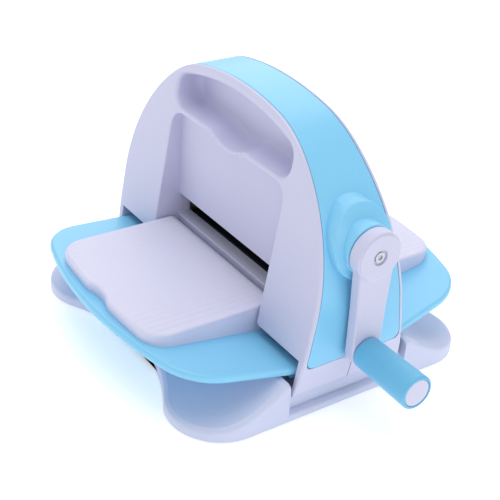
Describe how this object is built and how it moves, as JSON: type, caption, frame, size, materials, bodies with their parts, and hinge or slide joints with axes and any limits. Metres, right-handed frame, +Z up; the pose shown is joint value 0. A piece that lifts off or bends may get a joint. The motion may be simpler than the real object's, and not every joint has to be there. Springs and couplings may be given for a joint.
{
  "type": "die cutting machine",
  "caption": "Fold-away hand-crank die cutting machine: arch body with geared rollers, carry recesses and two wings with pads that fold up into the arch",
  "frame": {"origin": "On the ground under the middle of the arch, in the plane of the rubber feet's undersides", "axes": "X along the rollers with the crank on +X, Y from front to rear with the front on -Y, Z up"},
  "size_m": [0.3615, 0.3104, 0.2205],
  "materials": {
    "base_plastic": "moulded, satin",
    "shell_plastic": "moulded, satin",
    "blue_plastic": "moulded, semi-gloss",
    "floor_plastic": "moulded, satin",
    "pad_plastic": "moulded, satin",
    "arm_plastic": "moulded, satin",
    "grip_plastic": "moulded, fine matt",
    "foot_rubber": "moulded",
    "fastener_steel": "zinc plated",
    "roller_steel": "turned tube, darkened",
    "gear_steel": "hobbed, oiled",
    "bush_metal": "sintered"
  },
  "bodies": {
    "machine": {"base_moulding": "base_plastic", "rubber_feet": "foot_rubber", "base_screws": "fastener_steel", "front_shell": "shell_plastic", "rear_shell": "shell_plastic", "band_cover": "blue_plastic", "shell_screws": "fastener_steel", "right_frame": "fastener_steel", "left_frame": "fastener_steel", "tie_rods": "fastener_steel", "tie_nuts": "fastener_steel", "front_floor": "floor_plastic", "rear_floor": "floor_plastic", "roller_bushes": "bush_metal", "crank_bushes": "bush_metal", "front_hinge_pins": "fastener_steel", "rear_hinge_pins": "fastener_steel"},
    "crank": {"crank_shaft": "fastener_steel", "crank_pinion": "gear_steel", "crank_ring": "fastener_steel", "crank_arm": "arm_plastic", "crank_washer": "fastener_steel", "crank_screw": "fastener_steel", "grip_spindle": "fastener_steel"},
    "grip": {"grip_sleeve": "grip_plastic", "grip_cap": "arm_plastic"},
    "upper_roller": {"upper_tube": "roller_steel", "upper_shaft": "fastener_steel", "upper_gear": "gear_steel", "upper_ring": "fastener_steel"},
    "lower_roller": {"lower_tube": "roller_steel", "lower_shaft": "fastener_steel", "lower_gear": "gear_steel", "lower_ring": "fastener_steel"},
    "front_table": {"front_wing": "blue_plastic", "front_pad": "pad_plastic", "front_pad_screws": "fastener_steel"},
    "rear_table": {"rear_wing": "blue_plastic", "rear_pad": "pad_plastic", "rear_pad_screws": "fastener_steel"}
  },
  "joints": [
    {"name": "crank_spin", "type": "hinge", "parent": "machine", "child": "crank", "pos_m": [0, 0, 0.14], "axis": [1, 0, 0], "continuous": true},
    {"name": "upper_spin", "type": "hinge", "parent": "machine", "child": "upper_roller", "pos_m": [0, 0, 0.1], "axis": [1, 0, 0], "continuous": true},
    {"name": "lower_spin", "type": "hinge", "parent": "machine", "child": "lower_roller", "pos_m": [0, 0, 0.052], "axis": [1, 0, 0], "continuous": true},
    {"name": "grip_spin", "type": "hinge", "parent": "crank", "child": "grip", "pos_m": [0.16, 0, 0.0565], "axis": [1, 0, 0], "continuous": true},
    {"name": "front_fold", "type": "hinge", "parent": "machine", "child": "front_table", "pos_m": [0, -0.036, 0.055], "axis": [-1, 0, 0], "range_deg": [0, 90]},
    {"name": "rear_fold", "type": "hinge", "parent": "machine", "child": "rear_table", "pos_m": [0, 0.036, 0.055], "axis": [1, 0, 0], "range_deg": [0, 90]}
  ],
  "couplings": [
    {"joint": "upper_spin", "follows": "crank_spin", "ratio": -0.66667},
    {"joint": "lower_spin", "follows": "crank_spin", "ratio": 0.66667}
  ]
}
